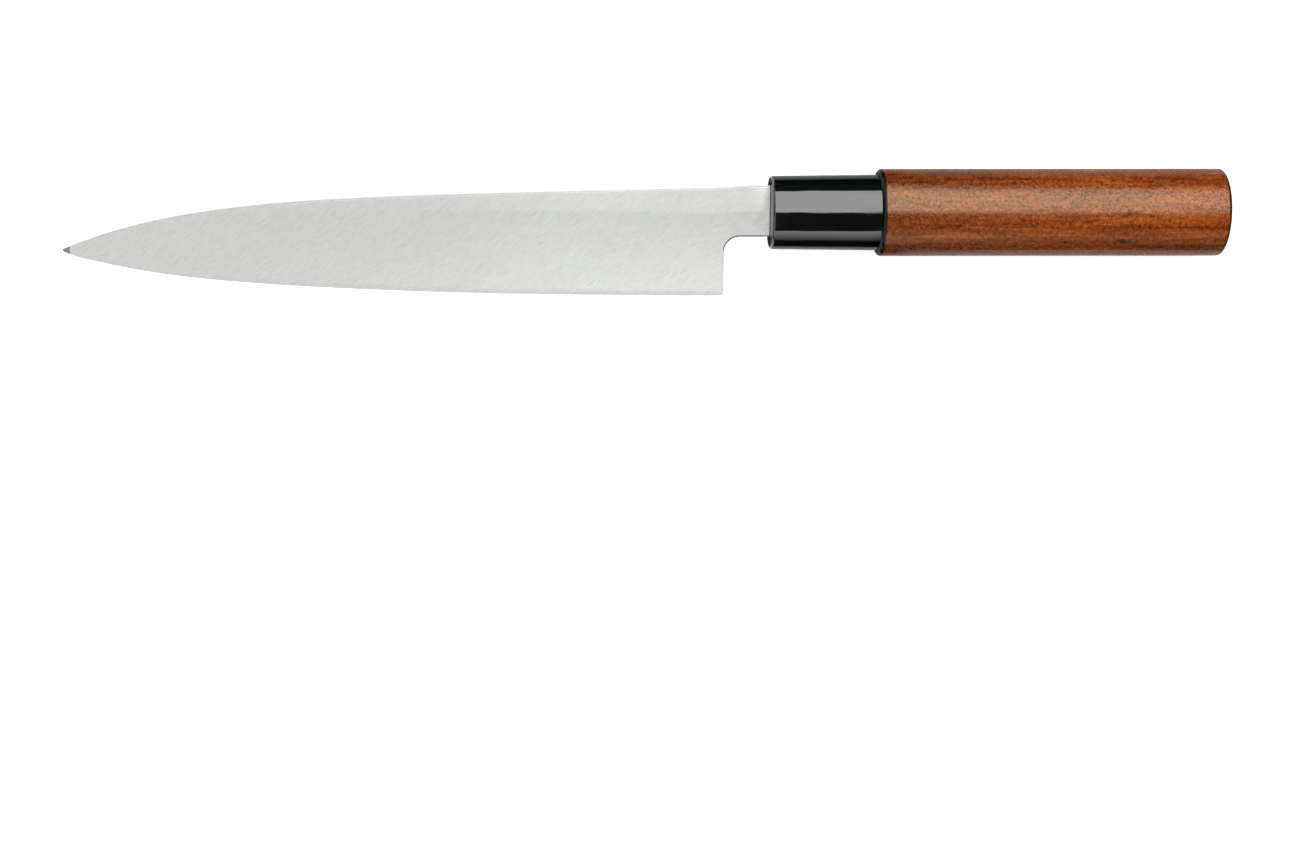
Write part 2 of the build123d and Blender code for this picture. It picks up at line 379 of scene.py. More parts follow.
def blade_rings(blade):
    """Rings of the blade: lines from the spine over the hollow face to the lower outline and back below.

    A place on a line is spine + t * (lower - spine). Its upper height is the face less the hollow, which is
    depth * (1 - u**2) where that is over zero, u being the place's share of half the hollow's width from its
    middle, and the depth grows with the square of that width, as a wheel grinds it. Its lower height is the
    face less the smaller of the taper's thickness and the bevel's slope times the distance from the edge.
    """
    spine_curve, edge_curve = blade_outline(blade)
    lower, counts = lower_outline(blade, edge_curve)
    tip_x = blade_low.x
    heel_x = mouth_x - blade.neck_length
    fan_places = [heel_x + blade.neck_length * part for part in FAN_SHARES]
    column = np.arange(len(lower))
    start = np.searchsorted(lower[:EDGE_COLUMNS, 0], fan_places[0])
    keys = [start, counts[1] - 1, counts[2] - 1, counts[3] - 1]
    spine_x = np.where(
        (column < start) | (column >= counts[3]),
        lower[:, 0],
        np.interp(column, keys, [lower[start, 0], fan_places[1], fan_places[2], lower[counts[3] - 1, 0]]),
    )
    spine = np.stack([spine_x, height_at(spine_curve, spine_x)], axis=1)
    slope = blade.heel_thickness / blade.bevel_width
    half_at_heel = (blade.heel_height - blade.edge_rim - blade.neck_rim) / 2

    def place_share(x):
        return np.clip((x - tip_x) / (heel_x - tip_x), 0, 1)

    def taper(x):
        return blade.tip_thickness + (blade.heel_thickness - blade.tip_thickness) * place_share(x)

    def thickness(x, y):
        return np.clip((y - height_at(edge_curve, x)) * slope, blade.edge_thickness, taper(x))

    def hollow_limits(x):
        low = height_at(edge_curve, x) + blade.edge_rim
        rim = blade.tip_rim + (blade.neck_rim - blade.tip_rim) * place_share(x) ** RIM_POWER
        high = height_at(spine_curve, x) - rim
        half = np.maximum((high - low) / 2, LEAST_HALF_HOLLOW)
        return blade.hollow_depth * (half / half_at_heel) ** 2, (low + high) / 2, half

    def hollow(x, y):
        depth, middle, half = hollow_limits(x)
        return np.maximum(depth * (1 - ((y - middle) / half) ** 2), 0)

    # Where the section starts and ends: inside the spine's crown and the easing of the lower corners
    full_depth = (spine[:, 1] - height_at(edge_curve, spine[:, 0])) * slope
    crown = blade.tip_crown + (blade.spine_crown - blade.tip_crown) * place_share(spine[:, 0])
    crown = crown * np.minimum(1, full_depth / blade.heel_thickness)
    spine_out = outward(spine, 1)
    shoulder = spine - spine_out * crown[:, None]
    grow = np.interp(
        column,
        [counts[0] - 1, counts[1] - 1, counts[2] - EASING_BEFORE_CHOIL, counts[2] + EASING_IN_CHOIL],
        [0, blade.heel_easing, blade.heel_easing, blade.neck_easing],
    )
    wall = thickness(lower[:, 0], lower[:, 1])
    easing = np.minimum(np.maximum(grow, blade.edge_thickness * LEAST_EASING), wall * MOST_EASING)
    lower_out = outward(lower, -1)
    foot = lower - lower_out * easing[:, None]

    def line_points(parts):
        return shoulder[:, None] + parts[:, :, None] * (foot - shoulder)[:, None]

    samples = np.linspace(0, 1, SECTION_SAMPLES)
    sampled = line_points(np.broadcast_to(samples, (len(lower), SECTION_SAMPLES)))
    x, y = sampled[..., 0], sampled[..., 1]
    _, middle, half = hollow_limits(x)

    def crossing(distances):
        """Share of each line where a signed distance, sampled along it, first falls below zero."""
        below = distances < 0
        first = np.where(below.any(axis=1), below.argmax(axis=1), SECTION_SAMPLES - 1)
        return np.clip(samples[first], SECTION_MARGIN, 1 - SECTION_MARGIN)

    rim_part = crossing(y - (middle + half))
    edge_rim_part = np.maximum(crossing(y - (middle - half)), rim_part + SECTION_GAP)
    bevel_part = crossing((y - height_at(edge_curve, x)) * slope - taper(x))

    def between(start_part, end_part, count):
        run = np.linspace(0, 1, count, endpoint=False)
        return start_part[:, None] + run * (end_part - start_part)[:, None]

    none, whole = np.zeros(len(lower)), np.ones(len(lower))
    close = np.minimum(SHORT_STEP / np.linalg.norm(foot - shoulder, axis=1), rim_part / FLAT_ROWS)
    top_parts = np.hstack([
        none[:, None],
        between(close, rim_part, FLAT_ROWS - 1),
        between(rim_part, edge_rim_part, HOLLOW_ROWS),
        between(edge_rim_part, whole, RIM_ROWS),
        whole[:, None],
    ])
    top = line_points(top_parts)
    top_z = face_z - hollow(top[..., 0], top[..., 1])
    low_parts = np.hstack([
        between(whole, bevel_part, BEVEL_ROWS),
        between(bevel_part, close, UNDERSIDE_ROWS - 1),
        close[:, None],
        none[:, None],
    ])
    low = line_points(low_parts)
    low_z = face_z - thickness(low[..., 0], low[..., 1])

    # The lower corners: two quarter rounds with the wall between them
    turn = np.linspace(0, pi / 2, EASING_ROWS)[1:]
    out = easing[:, None] * np.sin(turn)
    upper_z = top_z[:, -1][:, None] - easing[:, None] * (1 - np.cos(turn))
    lower_z = low_z[:, 0][:, None] + easing[:, None] * (1 - np.cos(turn))
    upper_corner = foot[:, None] + out[:, :, None] * lower_out[:, None]
    lower_corner = upper_corner[:, ::-1]
    # The crown of the spine: half an ellipse from its lower shoulder to its upper one
    half_turn = np.linspace(-pi / 2, pi / 2, CROWN_ROWS)[1:-1]
    crown_points = shoulder[:, None] + (crown[:, None] * np.cos(half_turn))[:, :, None] * spine_out[:, None]
    crown_middle = (top_z[:, 0] + low_z[:, -1])[:, None] / 2
    crown_half = (top_z[:, 0] - low_z[:, -1])[:, None] / 2
    crown_z = crown_middle + crown_half * np.sin(half_turn)

    def solid(points, heights):
        return np.concatenate([points, heights[:, :, None]], axis=2)

    return np.concatenate([
        solid(top, top_z),
        solid(upper_corner, upper_z),
        solid(lower_corner, lower_z[:, ::-1]),
        solid(low, low_z),
        solid(crown_points, crown_z),
    ], axis=1)


# Length before the heel over which the mark of the flat, which carries painted shade, grows
FLAT_SHADE_LENGTH = abs(blade_low.x) / 0.9


def add_marks(obj, rings, heel_column, corner_rows):
    """Attributes for the steel's finish, all 0 where they don't apply.

    "unground" is 1 on the eased lower sides behind the heel, which aren't ground. "crowned" grows from 0 at
    the shoulders of the spine to 1 along its back, with the cosine of the turn round it, and carries a painted
    highlight. "flat" is on the flat between the hollow and the spine, grows from 0 near the tip to 1 at the
    heel, and carries painted shade.
    """
    unground, crowned, flat = np.zeros((3, *rings.shape[:2]))
    unground[heel_column:, corner_rows[0]:corner_rows[1]] = 1
    crowned[:, 2 - CROWN_ROWS:] = np.cos(np.linspace(-pi / 2, pi / 2, CROWN_ROWS)[1:-1])
    heel_x = rings[heel_column, 0, 0]
    flat[:, :FLAT_ROWS] = np.clip(1 + (rings[:, :1, 0] - heel_x) / FLAT_SHADE_LENGTH, 0, 1)
    for name, marks in (("unground", unground), ("crowned", crowned), ("flat", flat)):
        values = np.zeros(len(obj.data.vertices), np.float32)
        values[:marks.size] = marks.ravel()
        layer = obj.data.attributes.new(name, "FLOAT", "POINT")
        layer.data.foreach_set("value", values)


def tang_rings(blade, rows):
    """Rings of the tang, with as many places as the blade's: a tapered bar about the handle's axis."""
    top_count, corner_count, low_count, crown_count = rows
    side_count = 2 * corner_count
    top_run = np.linspace(1, -1, top_count)
    side_run = np.linspace(1, -1, side_count + 2)[1:-1]
    low_run = np.linspace(-1, 1, low_count)
    crown_run = np.linspace(-1, 1, crown_count + 2)[1:-1]
    across = np.concatenate([top_run, np.full(side_count, -1), low_run, np.ones(crown_count)])
    upward = np.concatenate([np.ones(top_count), side_run, np.full(low_count, -1), crown_run])
    start_x = mouth_x + blade.neck_reach
    rings = []
    for x, height, thickness in (
        (start_x, blade.tang_front_height, blade.tang_front_thickness),
        (blade_high.x, blade.tang_end_height, blade.tang_end_thickness),
    ):
        rings.append(np.stack([
            np.full(len(across), x),
            axis_y + across * height / 2,
            axis_z + upward * thickness / 2,
        ], axis=1))
    return np.stack(rings)


def add_plan_uv(obj, turn):
    """UV map in plan, in metres, turned so that its first axis runs along the grinding marks."""
    mesh = obj.data
    places = np.empty(len(mesh.vertices) * 3, np.float32)
    mesh.vertices.foreach_get("co", places)
    corners = np.empty(len(mesh.loops), np.int32)
    mesh.loops.foreach_get("vertex_index", corners)
    x, y, _ = places.reshape(-1, 3)[corners].T
    layer = mesh.uv_layers.new(name="grind")
    uv = np.stack([x * np.cos(turn) + y * np.sin(turn), y * np.cos(turn) - x * np.sin(turn)], axis=1)
    layer.data.foreach_set("uv", uv.astype(np.float32).ravel())


# Handle: places round a section, and rings over each part of its profile
AROUND = 192
ROUNDING_RINGS = 9
SHORT_RINGS = 3
WALL_RINGS = 4
BUTT_RINGS = 8
FERRULE_RINGS = 24
GRIP_RINGS = 60

# Radius of the corners of the wood's bore, and how small the first ring of its butt is, as a share
BORE_CORNER = 0.1 * MM
BUTT_START = 0.02


def oval_ring(x, height, thickness):
    """Oval about the handle's axis: (x, height/2 * cos, thickness/2 * sin) of the turn."""
    turn = np.linspace(0, 2 * pi, AROUND, endpoint=False)
    return np.stack([
        np.full(AROUND, x),
        axis_y + height / 2 * np.cos(turn),
        axis_z + thickness / 2 * np.sin(turn),
    ], axis=1)


def box_ring(x, middle_y, height, thickness, corner):
    """Rounded rectangle about a point of the section: its turn is the oval's, pushed out to its four sides.

    With c and s the cosine and sine of the turn, a point lies where the ray (c*height, s*thickness) meets
    the rectangle, and the corner's radius pulls in the last bit of each side.
    """
    turn = np.linspace(0, 2 * pi, AROUND, endpoint=False)
    reach = 1 / np.maximum(np.abs(np.cos(turn)), np.abs(np.sin(turn)))
    y = height / 2 * np.cos(turn) * reach
    z = thickness / 2 * np.sin(turn) * reach
    inner_y = np.clip(y, corner - height / 2, height / 2 - corner)
    inner_z = np.clip(z, corner - thickness / 2, thickness / 2 - corner)
    off = np.stack([y - inner_y, z - inner_z], axis=1)
    pull = corner / np.maximum(np.linalg.norm(off, axis=1), corner)
    return np.stack([
        np.full(AROUND, x),
        middle_y + inner_y + off[:, 0] * pull,
        axis_z + inner_z + off[:, 1] * pull,
    ], axis=1)


def rounded_rim(x, height, thickness, rounding, direction):
    """Rings of a rim's quarter round, from flat face to full oval; direction is the way it faces along X."""
    turn = np.linspace(0, pi / 2, ROUNDING_RINGS)
    return [
        oval_ring(
            x + direction * rounding * (np.cos(part) - 1),
            height - 2 * rounding * (1 - np.sin(part)),
            thickness - 2 * rounding * (1 - np.sin(part)),
        )
        for part in turn
    ]


def blend_rings(first, last, count):
    """Rings between two rings, in even steps, with both ends."""
    part = np.linspace(0, 1, count)[:, None, None]
    return list(first * (1 - part) + last * part)


def side_rings(first, last, count):
    """Rings from the end of a rounding to another ring, of which the first is close behind the rounding.

    Without that one, the rounding's shading would run out over the first face of the side.
    """
    close = SHORT_STEP / abs(last[0, 0] - first[0, 0])
    part = np.concatenate([[0], np.linspace(close, 1, count)])[:, None, None]
    return list(first * (1 - part) + last * part)


def tenon_size(handle, gap=0.0):
    """Height and thickness of the bore round the tenon, less a gap on each side."""
    sizes = (handle.ferrule_height, handle.ferrule_thickness)
    return [size - 2 * handle.ferrule_wall - 2 * gap for size in sizes]


def ferrule_rings(handle, blade):
    """Profile of the ferrule carried round its section: slot, front wall, rounded rim, flared side, bore."""
    neck_middle = axis_y + blade.spine_rise + blade.neck_step - blade.neck_height / 2
    slot_height = blade.neck_height + 2 * handle.slot_clearance
    slot_thickness = blade.heel_thickness + 2 * handle.slot_clearance
    front, back = ferrule_low.x, ferrule_high.x
    inner = front + handle.ferrule_front_wall
    slot_front = box_ring(front, neck_middle, slot_height, slot_thickness, handle.slot_corner)
    slot_back = box_ring(inner, neck_middle, slot_height, slot_thickness, handle.slot_corner)
    rim = rounded_rim(front, handle.ferrule_height, handle.ferrule_thickness, handle.ferrule_rounding, -1)
    side_end = oval_ring(
        back, handle.ferrule_height + handle.ferrule_flare, handle.ferrule_thickness + handle.ferrule_flare
    )
    bore_back = oval_ring(back, *tenon_size(handle))
    bore_front = oval_ring(inner, *tenon_size(handle))
    return np.stack([
        *blend_rings(slot_back, slot_front, SHORT_RINGS)[:-1],
        *blend_rings(slot_front, rim[0], WALL_RINGS)[:-1],
        *rim[:-1],
        *side_rings(rim[-1], side_end, FERRULE_RINGS)[:-1],
        *blend_rings(side_end, bore_back, SHORT_RINGS)[:-1],
        *blend_rings(bore_back, bore_front, SHORT_RINGS),
    ])


def ring_rings(handle):
    """Profile of the spacer ring carried round: front face, rounded rim, side, back face and bore."""
    front, back = ring_low.x, ring_high.x
    height = ring_high.y - ring_low.y
    thickness = ring_high.z - ring_low.z
    rim = rounded_rim(front, height, thickness, handle.ring_rounding, -1)
    bore_front = oval_ring(front, *tenon_size(handle))
    bore_back = oval_ring(back, *tenon_size(handle))
    side_end = oval_ring(back, height, thickness)
    return np.stack([
        *blend_rings(bore_front, rim[0], WALL_RINGS)[:-1],
        *rim[:-1],
        *blend_rings(rim[-1], side_end, SHORT_RINGS)[:-1],
        *blend_rings(side_end, bore_back, SHORT_RINGS),
    ])


def grip_rings(handle, blade):
    """Profile of the wood carried round: butt, side, shoulder, tenon, and the tapered bore to its end."""
    shoulder = ring_high.x
    butt = grip_high.x
    height = grip_high.y - grip_low.y
    thickness = grip_high.z - grip_low.z
    tenon_front = grip_low.x
    tenon = tenon_size(handle, handle.glue_gap)
    bore_end = blade_high.x + handle.bore_end_gap
    butt_rim = rounded_rim(butt, height, thickness, handle.butt_rounding, 1)
    side_front = oval_ring(shoulder, height, thickness)
    tenon_back = oval_ring(shoulder, *tenon)
    tenon_rim = oval_ring(tenon_front, *tenon)
    gap = 2 * handle.bore_clearance
    front_height, front_thickness = blade.tang_front_height + gap, blade.tang_front_thickness + gap
    end_height, end_thickness = blade.tang_end_height + gap, blade.tang_end_thickness + gap
    bore_front = box_ring(tenon_front, axis_y, front_height, front_thickness, BORE_CORNER)
    bore_back = box_ring(bore_end, axis_y, end_height, end_thickness, BORE_CORNER)
    centre = np.broadcast_to([[butt, axis_y, axis_z]], (AROUND, 3))
    return np.stack([
        *blend_rings(centre * (1 - BUTT_START) + butt_rim[0] * BUTT_START, butt_rim[0], BUTT_RINGS)[:-1],
        *butt_rim[:-1],
        *side_rings(butt_rim[-1], side_front, GRIP_RINGS)[:-1],
        *blend_rings(side_front, tenon_back, SHORT_RINGS)[:-1],
        *blend_rings(tenon_back, tenon_rim, WALL_RINGS)[:-1],
        *blend_rings(tenon_rim, bore_front, SHORT_RINGS)[:-1],
        *blend_rings(bore_front, bore_back, SHORT_RINGS),
    ])


class NodeTree:
    """Nodes of a lamp, a world or a material, whose inputs take plain values or other nodes' outputs."""

    def __init__(self, owner):
        owner.use_nodes = True
        self.nodes = owner.node_tree.nodes
        self.links = owner.node_tree.links

    def fill(self, socket, value):
        """Links an input to another node's output, or sets it to a plain value."""
        if isinstance(value, bpy.types.NodeSocket):
            self.links.new(value, socket)
        else:
            socket.default_value = value

    def node(self, kind, **values):
        """New node with its inputs filled and its own choices made."""
        made = self.nodes.new(kind)
        for key, value in values.items():
            if key in made.inputs:
                self.fill(made.inputs[key], value)
            else:
                setattr(made, key, value)
        return made

    def part(self, vector, index):
        """One coordinate of a place."""
        return self.node("ShaderNodeSeparateXYZ", Vector=vector).outputs[index]

    def stretch(self, value, start=0.0, end=1.0, low=0.0, high=1.0):
        """Value that goes from low to high as another goes from start to end, and is level beyond them."""
        made = self.node("ShaderNodeMapRange", Value=value)
        for socket, limit in zip(("From Min", "From Max", "To Min", "To Max"), (start, end, low, high)):
            self.fill(made.inputs[socket], limit)
        return made.outputs["Result"]

    def math(self, operation, first, second=0.0):
        """Sum, product or the like of two values."""
        made = self.node("ShaderNodeMath", operation=operation)
        self.fill(made.inputs[0], first)
        self.fill(made.inputs[1], second)
        return made.outputs[0]

    def total(self, *parts):
        """Sum of values, each given with its weight."""
        first, *others = (self.math("MULTIPLY", value, weight) for value, weight in parts)
        for other in others:
            first = self.math("ADD", first, other)
        return first


class Finish(NodeTree):
    """Node material of one piece."""

    def __init__(self, name):
        self.material = bpy.data.materials.new(name)
        super().__init__(self.material)
        self.shader = self.nodes["Principled BSDF"]

    def set(self, **values):
        """Fills inputs of the shader, in whose names _ stands for a space."""
        for key, value in values.items():
            self.fill(self.shader.inputs[key.replace("_", " ")], value)

    def place(self):
        """Place in the object's own coordinates."""
        return self.node("ShaderNodeTexCoord").outputs["Object"]

    def along(self, index, start, end):
        """How far a place is from start to end along one of the object's axes, from nothing to one."""
        return self.stretch(self.part(self.place(), index), start, end)

    def mark(self, name):
        """Value of one of the marks that are stored on the surface."""
        return self.node("ShaderNodeAttribute", attribute_name=name).outputs["Fac"]

    def noise(self, scale, turn=(0, 0, 0), detail=3.0, roughness=0.5, distortion=0.0):
        """Noise from nothing to one over turned places, which repeats about scale times a metre."""
        turned = self.node("ShaderNodeMapping", Vector=self.place(), Rotation=turn).outputs["Vector"]
        stretched = self.node("ShaderNodeMapping", Vector=turned, Scale=scale).outputs["Vector"]
        made = self.node(
            "ShaderNodeTexNoise", Vector=stretched, Scale=1.0, Detail=detail, Roughness=roughness,
            Distortion=distortion,
        )
        return made.outputs["Fac"]

    def ramp(self, value, *stops):
        """Colours or greys by a value: each stop is a place and a colour."""
        made = self.node("ShaderNodeValToRGB", Fac=value)
        elements = made.color_ramp.elements
        while len(elements) < len(stops):
            elements.new(0.5)
        for element, (place, shade) in zip(elements, stops):
            element.position = place
            element.color = (*shade, 1) if hasattr(shade, "__len__") else (shade, shade, shade, 1)
        return made.outputs["Color"]

    def mix(self, first, second, factor, blend_type="MIX"):
        """Two colours mixed by a value."""
        made = self.node("ShaderNodeMix", data_type="RGBA", blend_type=blend_type)
        for socket, value in zip((made.inputs[0], made.inputs[6], made.inputs[7]), (factor, first, second)):
            self.fill(socket, value)
        return made.outputs[2]

    def shade(self, colour, value, *stops):
        """Colour multiplied by the greys that a ramp gives a value."""
        return self.mix(colour, self.ramp(value, *stops), 1.0, "MULTIPLY")

    def bump(self, height, strength, distance, below=None):
        """Normal of a surface whose height follows a value; below is the bump under it."""
        made = self.node("ShaderNodeBump", Height=height, Strength=strength, Distance=distance)
        if below is not None:
            self.fill(made.inputs["Normal"], below)
        return made.outputs["Normal"]


# Painted light along the steel, as places from the tip to the handle's mouth, each with its grey: it follows
# the lamps' uneven light along the blade and lightens the neck where the ferrule shades it; and how far the
# painted highlight on the crown of the spine goes from that to white
STEEL_PAINTED_LIGHT = (
    (0.0, 0.665), (0.30, 0.63), (0.52, 0.64), (0.72, 0.70), (0.93, 0.73), (0.965, 0.715), (0.982, 0.715),
    (0.991, 0.88), (1.0, 1.0),
)
CROWN_PAINTED_HIGHLIGHT = 0.5

# How far before the mouth the thin dark line and the smoother end of the neck start and are full, and how far
# to each side of its border the painted dark reflection at the tip changes, which stands for a small facet
# there
MOUTH_LINE_START, MOUTH_LINE_FULL = 0.30 * MM, 0.12 * MM
SMOOTH_START, SMOOTH_FULL = 7 * MM, 2 * MM
TIP_SHADE_BORDER = 0.05 * MM


def satin_steel(blade):
    """Satin steel with short diagonal grinding marks and faint clouds.

    Painted light changes its tone from the tip to the handle and lightens the neck before the mouth, a painted
    highlight makes the crown of the spine paler, painted shade makes the flat slightly darker, and a painted
    dark reflection darkens the tip where a small facet would be. It is also dark on the unground sides at the
    choil and in a thin line just before the handle's mouth.
    """
    made = Finish("satin_steel")
    turn = (0, 0, -blade.grind_angle)
    fine = made.noise((360, 2300, 360), turn, detail=2, roughness=0.6)
    lines = made.noise((150, 1300, 150), turn, detail=2, roughness=0.6)
    clouds = made.noise((45, 70, 45), turn, detail=3)
    streak = made.total((fine, 0.7), (lines, 0.3))
    steel = np.array(blade.steel)
    base = made.ramp(streak, (0.30, steel * 0.90), (0.50, steel), (0.70, np.minimum(steel * 1.08, 1)))
    base = made.shade(base, clouds, (0.3, 0.97), (0.7, 1.0))
    # Painted light and shade along the blade, by place from the tip to the mouth
    tone = made.ramp(made.along(0, blade_low.x, mouth_x), *STEEL_PAINTED_LIGHT)
    # Painted highlight: the crown of the spine is paled towards white
    tone = made.mix(tone, (1, 1, 1, 1), made.stretch(made.mark("crowned"), high=CROWN_PAINTED_HIGHLIGHT))
    base = made.mix(base, tone, 1.0, "MULTIPLY")
    # A thin darker line on the steel just before the handle's mouth
    mouth_line = made.along(0, mouth_x - MOUTH_LINE_START, mouth_x - MOUTH_LINE_FULL)
    base = made.shade(base, mouth_line, (0.0, 1.0), (1.0, 0.12))
    # Painted dark reflection of a small facet at the very tip
    tip_end = blade_low.x + blade.tip_shade_length
    tip_shade = made.along(0, tip_end - TIP_SHADE_BORDER, tip_end + TIP_SHADE_BORDER)
    base = made.shade(base, tip_shade, (0.0, 0.42), (1.0, 1.0))
    # Painted shade: the flat between the hollow and the spine is slightly darker than the hollow
    base = made.shade(base, made.mark("flat"), (0.0, 1.0), (1.0, 0.95))
    base = made.shade(base, made.mark("unground"), (0.0, 1.0), (1.0, 0.35))
    smooth = made.ramp(made.along(0, mouth_x - SMOOTH_START, mouth_x - SMOOTH_FULL), (0.0, 1.0), (1.0, 0.75))
    marks = made.bump(lines, strength=0.08, distance=0.00003)
    made.set(
        Base_Color=base,
        Metallic=1.0,
        Roughness=made.math("MULTIPLY", made.stretch(lines, low=0.44, high=0.56), smooth),
        Anisotropic=0.45,
        Normal=made.bump(fine, strength=0.10, distance=0.00001, below=marks),
        Tangent=made.node("ShaderNodeTangent", direction_type="UV_MAP", uv_map="grind").outputs["Tangent"],
    )
    return made.material


# How far behind the plane of a front face its dull finish starts to end and has ended
CUT_FACE_START, CUT_FACE_END = 0.03 * MM, 0.12 * MM


def gloss_plastic(handle, name, front, roughness, gloss):
    """Moulded black plastic with a high gloss: slight waves from the mould, fine handling marks and dust.

    Its flat front face, which was cut, is duller.
    """
    made = Finish(name)
    black = np.array(handle.black)
    wave = made.noise((70, 130, 130), detail=1)
    marks = made.noise((220, 2200, 2200), detail=3, roughness=0.6)
    dust = made.noise((2400, 2400, 2400), detail=2)
    face = made.ramp(made.along(0, front + CUT_FACE_START, front + CUT_FACE_END), (0.0, 0.26), (1.0, 0.0))
    waves = made.bump(wave, strength=0.50, distance=0.0003)
    made.set(
        Base_Color=made.ramp(marks, (0.35, black), (0.75, black * 1.6)),
        Roughness=made.math("ADD", made.stretch(marks, low=roughness, high=roughness + 0.05), face),
        Normal=made.bump(dust, strength=0.03, distance=0.00002, below=waves),
        IOR=1.5,
        Specular_IOR_Level=gloss,
    )
    return made.material


# Length behind the ring over which the wood gets its full tone, the strip below the axis where painted shade
# makes its lower side darker, and how far before the butt the painted dark reflection on its rim starts, as a
# share of the rounding
DARK_FRONT = 60 * MM
LOW_SIDE_SHADE_START, LOW_SIDE_SHADE_END = 9.5 * MM, 6.5 * MM
BUTT_RIM_SHADE_START = 0.85


def lacquered_wood(handle):
    """Red-brown wood under satin lacquer: broken streaks, flecks, ripples, pores and dark spots.

    It is darker near the ring, has painted shade along its lower side, and a painted dark reflection round the
    rounded rim of its butt.
    """
    made = Finish("lacquered_wood")
    dark, body, light = map(np.array, (handle.wood_dark, handle.wood_body, handle.wood_light))
    broad = made.noise((16, 280, 280), detail=2, roughness=0.55, distortion=0.4)
    streaks = made.noise((55, 900, 900), detail=2, roughness=0.6)
    flecks = made.noise((330, 1600, 1600), detail=2, roughness=0.65)
    ripples = made.noise((1200, 1000, 1000), detail=2, roughness=0.7)
    pores = made.noise((1400, 1500, 1500), (0, 0, radians(40)), detail=2, roughness=0.6)
    spots = made.noise((75, 230, 230), detail=2, roughness=0.5, distortion=0.5)
    grain = made.total((broad, 0.38), (streaks, 0.34), (flecks, 0.28))
    base = made.ramp(grain, (0.34, dark), (0.44, body * 0.74), (0.50, body), (0.62, light))
    base = made.shade(base, ripples, (0.32, 0.50), (0.68, 1.50))
    base = made.shade(base, made.along(0, ring_high.x, ring_high.x + DARK_FRONT), (0.0, 0.76), (1.0, 1.0))
    # Painted shade along the lower side of the handle
    low_side_shade = made.along(1, axis_y - LOW_SIDE_SHADE_START, axis_y - LOW_SIDE_SHADE_END)
    base = made.shade(base, low_side_shade, (0.0, 0.74), (1.0, 1.0))
    base = made.shade(base, spots, (0.24, 0.30), (0.33, 1.0))
    # Painted dark reflection on the rounded rim of the butt
    rim = made.along(0, grip_high.x - handle.butt_rounding * BUTT_RIM_SHADE_START, grip_high.x)
    base = made.shade(base, rim, (0.0, 1.0), (0.24, 0.12), (0.86, 0.12), (0.98, 0.8))
    grooves = made.bump(streaks, strength=0.40, distance=0.00006)
    made.set(
        Base_Color=base,
        Roughness=made.ramp(pores, (0.36, 0.50), (0.50, 0.22), (0.62, 0.14)),
        Normal=made.bump(ripples, strength=0.45, distance=0.00010, below=grooves),
        IOR=1.5,
        Specular_IOR_Level=1.0,
        Specular_Tint=(1.0, 0.80, 0.56, 1.0),
    )
    return made.material


def bedding_resin():
    """Cured dark resin, slightly uneven where it was poured."""
    made = Finish("bedding_resin_finish")
    cloud = made.noise((300, 300, 300), detail=4)
    made.set(
        Base_Color=made.ramp(cloud, (0.3, (0.010, 0.009, 0.008)), (0.7, (0.030, 0.027, 0.024))),
        Roughness=made.stretch(cloud, low=0.35, high=0.6),
        Normal=made.bump(cloud, strength=0.3, distance=0.0001),
    )
    return made.material


class KNIFE_OT_blade(bpy.types.Operator):
    """Make the blade with its hollow face, bevel, neck and tang"""

    bl_idname = "knife.blade"
    bl_label = "Blade"

    def execute(self, context):
        blade = settings("blade")
        rings = blade_rings(blade)
        rows = (
            FLAT_ROWS + HOLLOW_ROWS + RIM_ROWS + 1,
            EASING_ROWS - 1,
            BEVEL_ROWS + UNDERSIDE_ROWS + 1,
            CROWN_ROWS - 2,
        )
        corner_rows = (rows[0] - 1, rows[0] + 2 * rows[1] + 1)
        obj = skin("blade_body", np.concatenate([rings, tang_rings(blade, rows)]))
        add_marks(obj, rings, EDGE_COLUMNS + CORNER_COLUMNS // 2, corner_rows)
        add_plan_uv(obj, blade.grind_angle)
        finish_piece(obj, "blade", satin_steel(blade))
        return {"FINISHED"}


class KNIFE_OT_ferrule(bpy.types.Operator):
    """Make the gloss black ferrule with its slotted front wall"""

    bl_idname = "knife.ferrule"
    bl_label = "Ferrule"

    def execute(self, context):
        handle = settings("handle")
        obj = skin("ferrule_sleeve", ferrule_rings(handle, settings("blade")), wrap=True)
        finish = gloss_plastic(handle, "ferrule_gloss", ferrule_low.x, roughness=0.05, gloss=0.97)
        finish_piece(obj, "ferrule", finish)
        return {"FINISHED"}


class KNIFE_OT_ring(bpy.types.Operator):
    """Make the black spacer ring between the ferrule and the wood"""

    bl_idname = "knife.ring"
    bl_label = "Spacer ring"

    def execute(self, context):
        handle = settings("handle")
        obj = skin("spacer_collar", ring_rings(handle), wrap=True)
        finish = gloss_plastic(handle, "ring_gloss", ring_low.x, roughness=0.16, gloss=0.25)
        finish_piece(obj, "spacer_ring", finish)
        return {"FINISHED"}


class KNIFE_OT_grip(bpy.types.Operator):
    """Make the oval wooden grip with its tenon and bore"""

    bl_idname = "knife.grip"
    bl_label = "Grip"

    def execute(self, context):
        handle = settings("handle")
        obj = skin("grip_wood_body", grip_rings(handle, settings("blade")))
        finish_piece(obj, "grip", lacquered_wood(handle))
        return {"FINISHED"}


class KNIFE_OT_bedding(bpy.types.Operator):
    """Give the resin round the tang its finish"""

    bl_idname = "knife.bedding"
    bl_label = "Tang bedding"

    def execute(self, context):
        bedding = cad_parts["tang_bedding"]
        bedding.data.materials.clear()
        bedding.data.materials.append(bedding_resin())
        return {"FINISHED"}


